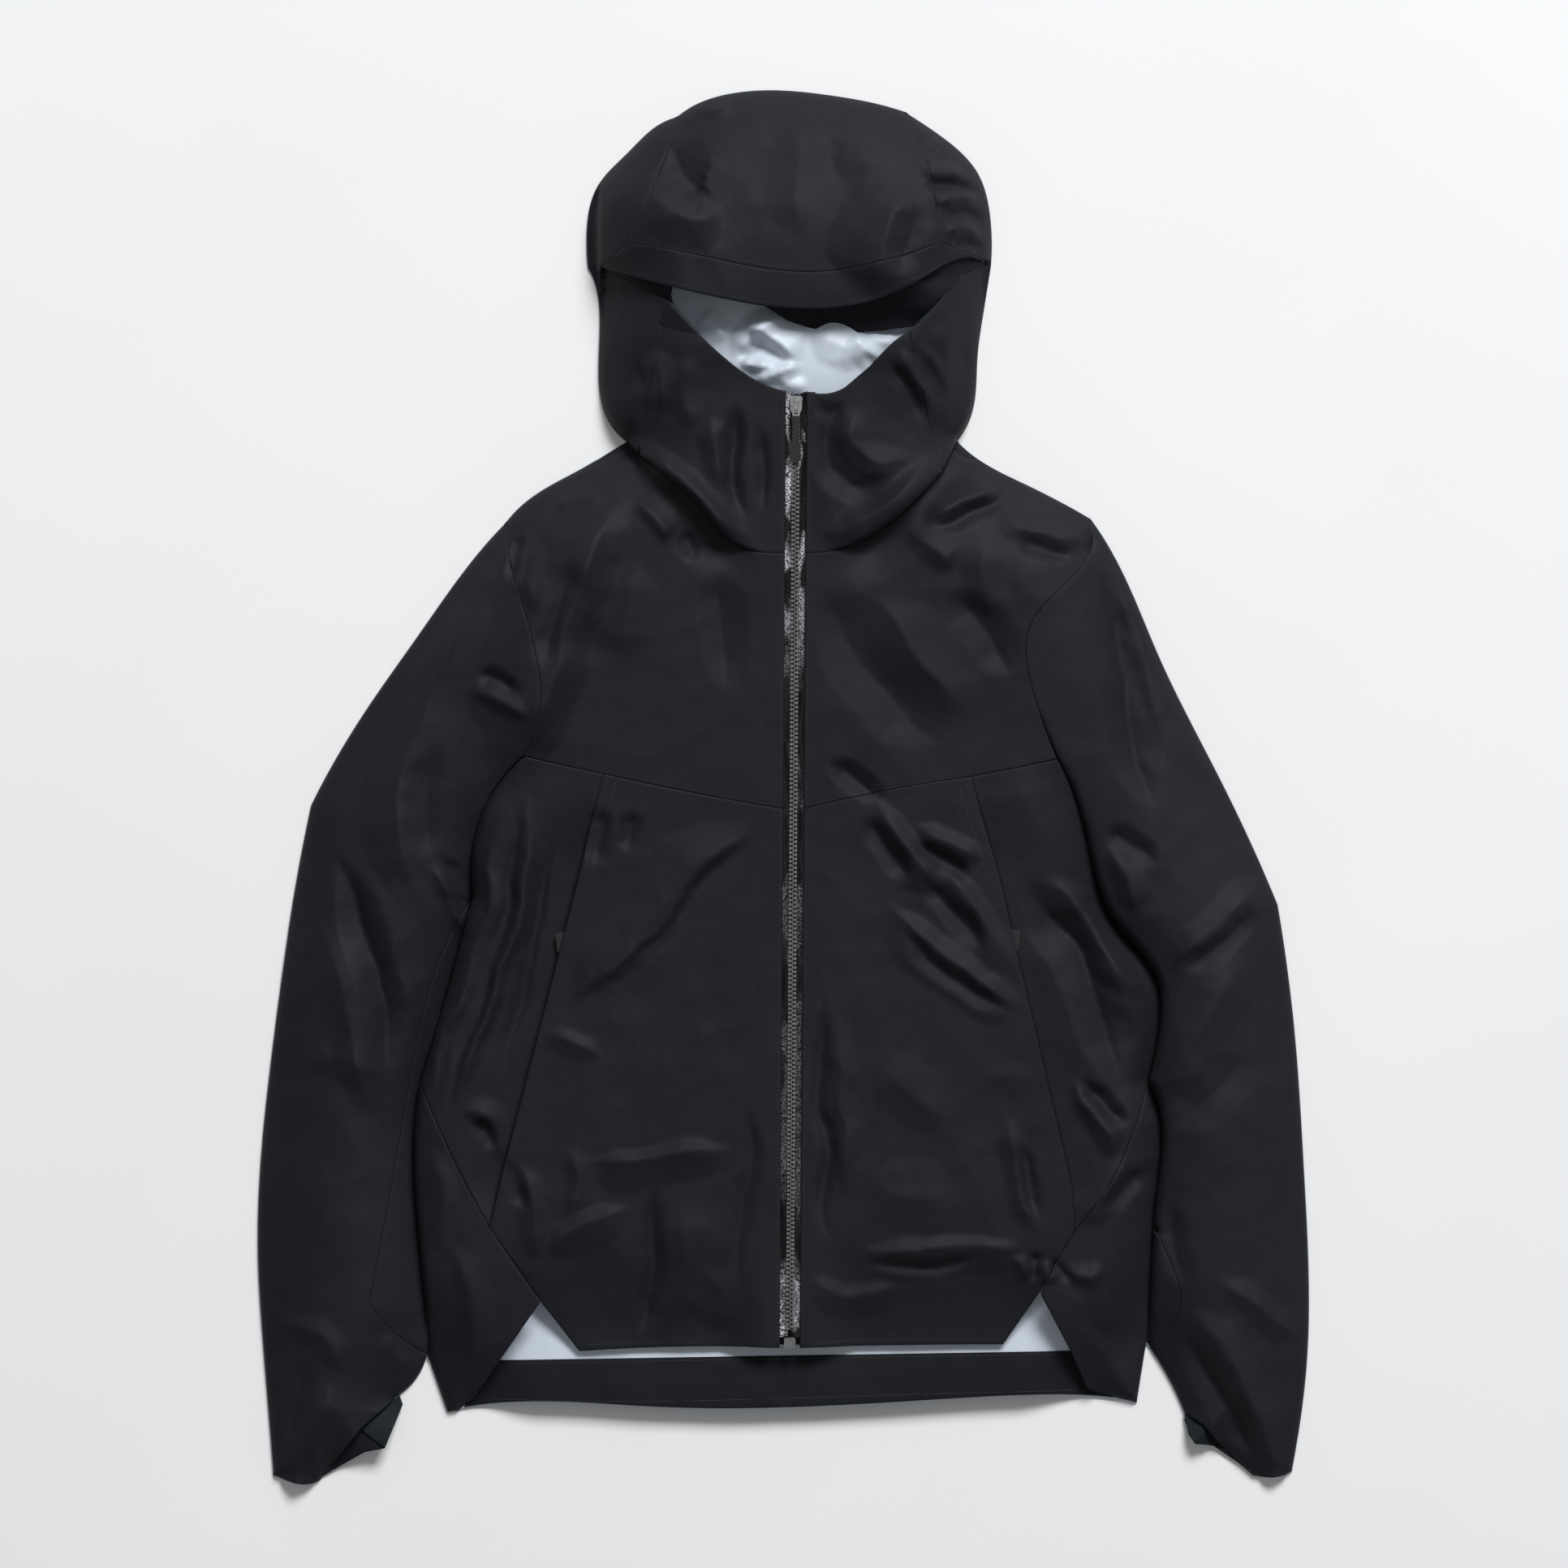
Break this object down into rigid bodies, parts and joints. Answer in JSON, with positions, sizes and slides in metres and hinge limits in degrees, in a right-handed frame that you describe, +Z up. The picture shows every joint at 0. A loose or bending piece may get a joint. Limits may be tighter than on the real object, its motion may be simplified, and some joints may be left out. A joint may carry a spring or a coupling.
{
  "type": "hooded hardshell jacket",
  "caption": "Zipped hooded shell jacket lying flat on its back, with a stiff hood brim, notched hem, flapped side pockets and sliding zips.",
  "frame": {"origin": "on the floor under the middle of the garment as it lies on its back", "axes": "+X towards the wearer's left, +Y along the body towards the hood, +Z up out of the chest"},
  "size_m": [0.7794, 1.0331, 0.0766],
  "materials": {
    "shell_fabric": "satin plain-weave nylon face",
    "lining": "matt brushed membrane backer",
    "facing": "matt woven tape",
    "stretch_gusset": "matt stretch knit",
    "zip_tape": "glossy coated tape",
    "zip_teeth": "moulded satin",
    "slider_metal": "black enamel",
    "pull_grip": "matt moulded"
  },
  "bodies": {
    "jacket": {"back_body_panel": "shell_fabric", "back_hem_facing": "facing", "back_yoke_panel": "shell_fabric", "brim_facing": "facing", "brim_stiffener": "facing", "chin_guard": "facing", "collar_facing_left": "facing", "collar_facing_right": "facing", "collar_left": "shell_fabric", "collar_right": "shell_fabric", "cuff_facing_left": "facing", "cuff_facing_right": "facing", "cuff_gusset_left": "stretch_gusset", "cuff_gusset_right": "stretch_gusset", "front_hem_facing_left": "facing", "front_hem_facing_right": "facing", "front_lower_left": "shell_fabric", "front_lower_right": "shell_fabric", "front_yoke_left": "shell_fabric", "front_yoke_right": "shell_fabric", "hanger_loop": "facing", "hip_panel_left": "shell_fabric", "hip_panel_right": "shell_fabric", "hood_back_panel": "lining", "hood_brim": "shell_fabric", "hood_crown_panel": "shell_fabric", "hood_side_left": "shell_fabric", "hood_side_right": "shell_fabric", "main_zip_insert_pin": "zip_teeth", "main_zip_retainer_box": "zip_teeth", "main_zip_storm_flap": "facing", "main_zip_tape_left": "zip_tape", "main_zip_tape_right": "zip_tape", "main_zip_teeth_left": "zip_teeth", "main_zip_teeth_right": "zip_teeth", "main_zip_top_stops": "zip_teeth", "neck_label": "facing", "pocket_bag_left": "lining", "pocket_bag_right": "lining", "pocket_zip_coil_left": "zip_teeth", "pocket_zip_coil_right": "zip_teeth", "pocket_zip_tape_left": "zip_tape", "pocket_zip_tape_right": "zip_tape", "side_panel_left": "shell_fabric", "side_panel_right": "shell_fabric", "sleeve_back_left": "shell_fabric", "sleeve_back_right": "shell_fabric", "sleeve_front_left": "shell_fabric", "sleeve_front_right": "shell_fabric", "sleeve_under_left": "shell_fabric", "sleeve_under_right": "shell_fabric"},
    "main_slider": {"main_zip_slider": "slider_metal", "main_zip_slider_back": "slider_metal"},
    "main_pull": {"main_zip_pull": "slider_metal", "main_zip_pull_tab": "pull_grip"},
    "pocket_slider_right": {"pocket_zip_slider_right": "slider_metal"},
    "pocket_pull_right": {"pocket_zip_pull_right": "pull_grip"},
    "pocket_slider_left": {"pocket_zip_slider_left": "slider_metal"},
    "pocket_pull_left": {"pocket_zip_pull_left": "pull_grip"}
  },
  "joints": [
    {"name": "main_zip_slide", "type": "slide", "parent": "jacket", "child": "main_slider", "axis": [-0.0068, -0.9996, -0.0284], "range_m": [0, 0.676]},
    {"name": "main_pull_flip", "type": "hinge", "parent": "main_slider", "child": "main_pull", "pos_m": [0.01045, 0.28514, 0.04791], "axis": [-1, 0.0068, 0], "range_deg": [0, 165]},
    {"name": "pocket_zip_slide_right", "type": "slide", "parent": "jacket", "child": "pocket_slider_right", "axis": [-0.2495, -0.968, -0.0274], "range_m": [0, 0.162]},
    {"name": "pocket_pull_swing_right", "type": "hinge", "parent": "pocket_slider_right", "child": "pocket_pull_right", "pos_m": [-0.15307, -0.10074, 0.03186], "axis": [-0.0003, 0.0284, -0.9996], "range_deg": [0, 60]},
    {"name": "pocket_zip_slide_left", "type": "slide", "parent": "jacket", "child": "pocket_slider_left", "axis": [0.2287, -0.9731, -0.0276], "range_m": [0, 0.17]},
    {"name": "pocket_pull_swing_left", "type": "hinge", "parent": "pocket_slider_left", "child": "pocket_pull_left", "pos_m": [0.16222, -0.09882, 0.03191], "axis": [-0.0004, -0.0284, 0.9996], "range_deg": [0, 60]}
  ]
}
